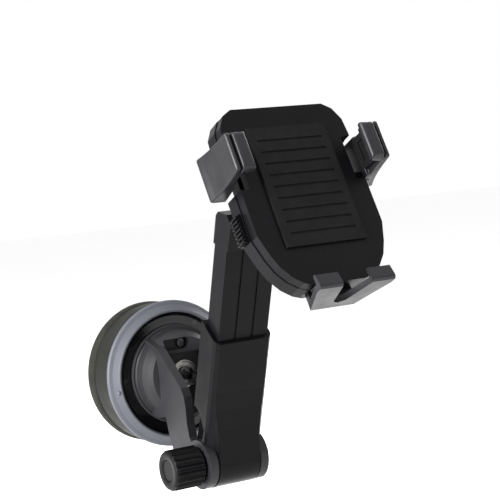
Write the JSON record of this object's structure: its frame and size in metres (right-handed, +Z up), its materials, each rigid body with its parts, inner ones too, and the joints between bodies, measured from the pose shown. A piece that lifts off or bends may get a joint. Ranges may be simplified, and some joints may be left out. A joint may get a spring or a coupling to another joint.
{
  "type": "car phone mount",
  "caption": "Dashboard phone mount: suction base with locking ring, hinged telescopic arm, ball joint, and a squeeze cradle with a forked foot.",
  "frame": {"origin": "centre of the suction face, on the surface that the cup sticks to", "axes": "+Y out of the suction face into the windscreen or dashboard it sticks to, -Y towards the driver, +Z up, +X to the driver's right; at rest the arm leans 21 degrees forward and the cradle is tilted 25.5 degrees back, with the clamps at a 71 mm wide phone"},
  "size_m": [0.0908, 0.2124, 0.1894],
  "materials": {
    "gel": "satin, slightly sticky",
    "cup_rubber": "matte",
    "black_plastic": "fine satin grain",
    "grey_ring": "satin",
    "gloss_black": "smooth",
    "grey_plastic": "fine satin grain",
    "dark_screw": "black oxide",
    "spring_steel": "drawn wire",
    "washer_steel": "turned",
    "nylon": "natural nylon",
    "pad_rubber": "matte, soft"
  },
  "bodies": {
    "base": {"gel_pad": "gel", "suction_cup": "cup_rubber", "base_housing": "black_plastic", "front_collar": "gloss_black", "yoke": "grey_plastic", "housing_screws": "dark_screw", "stud_spring": "spring_steel", "hinge_bolt": "dark_screw", "friction_washers": "nylon"},
    "lock": {"lock_ring": "grey_ring"},
    "plunger": {"pull_stud": "black_plastic", "stud_washer": "washer_steel", "centre_screw": "dark_screw"},
    "knob": {"hinge_knob": "black_plastic", "knob_cap": "grey_plastic"},
    "arm": {"sleeve": "black_plastic"},
    "telescope": {"slider": "black_plastic", "head_socket": "black_plastic"},
    "collar": {"collar_nut": "black_plastic"},
    "seat": {"ball_seat": "nylon"},
    "ball": {"ball_stud": "gloss_black"},
    "cradle": {"cradle_back": "black_plastic", "cradle_front": "black_plastic", "back_pad": "pad_rubber", "cradle_screws": "dark_screw", "pinion_axle": "spring_steel", "button_springs": "spring_steel"},
    "pinion": {"pinion": "nylon"},
    "left_clamp": {"clamp_left": "grey_plastic", "pad_left": "pad_rubber", "rack_left": "black_plastic"},
    "right_clamp": {"clamp_right": "grey_plastic", "pad_right": "pad_rubber", "rack_right": "black_plastic"},
    "left_button": {"button_left": "black_plastic"},
    "right_button": {"button_right": "black_plastic"},
    "foot": {"foot": "grey_plastic", "foot_pads": "pad_rubber"}
  },
  "joints": [
    {"name": "lock_turn", "type": "hinge", "parent": "base", "child": "lock", "pos_m": [0, -0.024, 0], "axis": [0, -1, 0], "range_deg": [0, 60]},
    {"name": "plunger_pull", "type": "slide", "parent": "base", "child": "plunger", "axis": [0, -1, 0], "range_m": [0, 0.0024]},
    {"name": "arm_hinge", "type": "hinge", "parent": "base", "child": "arm", "pos_m": [0, -0.0782, -0.0427], "axis": [1, 0, 0], "range_deg": [-15, 60]},
    {"name": "knob_turn", "type": "hinge", "parent": "base", "child": "knob", "pos_m": [0, -0.0782, -0.0427], "axis": [1, 0, 0], "continuous": true},
    {"name": "arm_extend", "type": "slide", "parent": "arm", "child": "telescope", "axis": [0, -0.3584, 0.9336], "range_m": [-0.02, 0.006]},
    {"name": "collar_turn", "type": "hinge", "parent": "telescope", "child": "collar", "pos_m": [0, -0.14927, 0.08106], "axis": [0, -0.9026, 0.4305], "continuous": true},
    {"name": "ball_yaw", "type": "hinge", "parent": "telescope", "child": "seat", "pos_m": [0, -0.14927, 0.08106], "axis": [0, 0.4305, 0.9026], "range_deg": [-13, 13]},
    {"name": "ball_pitch", "type": "hinge", "parent": "seat", "child": "ball", "pos_m": [0, -0.14927, 0.08106], "axis": [1, 0, 0], "range_deg": [-13, 13]},
    {"name": "ball_roll", "type": "hinge", "parent": "ball", "child": "cradle", "pos_m": [0, -0.14927, 0.08106], "axis": [0, -0.9026, 0.4305], "continuous": true},
    {"name": "clamp_left_slide", "type": "slide", "parent": "cradle", "child": "left_clamp", "axis": [-1, 0, 0], "range_m": [-0.006, 0.01]},
    {"name": "clamp_right_slide", "type": "slide", "parent": "cradle", "child": "right_clamp", "axis": [1, 0, 0], "range_m": [-0.006, 0.01]},
    {"name": "pinion_spin", "type": "hinge", "parent": "cradle", "child": "pinion", "pos_m": [0, -0.16738, 0.10465], "axis": [0, -0.9026, 0.4305], "range_deg": [-72, 118]},
    {"name": "button_left_press", "type": "slide", "parent": "cradle", "child": "left_button", "axis": [1, 0, 0], "range_m": [0, 0.0015], "stiffness_N_per_m": 600, "springref_m": -0.001},
    {"name": "button_right_press", "type": "slide", "parent": "cradle", "child": "right_button", "axis": [-1, 0, 0], "range_m": [0, 0.0015], "stiffness_N_per_m": 600, "springref_m": -0.001},
    {"name": "foot_slide", "type": "slide", "parent": "cradle", "child": "foot", "axis": [0, -0.4305, -0.9026], "range_m": [-0.003, 0.012]}
  ],
  "couplings": [
    {"joint": "plunger_pull", "follows": "lock_turn", "m_per_rad": 0.0022918},
    {"joint": "clamp_right_slide", "follows": "clamp_left_slide", "ratio": 1},
    {"joint": "pinion_spin", "follows": "clamp_left_slide", "rad_per_m": 200}
  ]
}
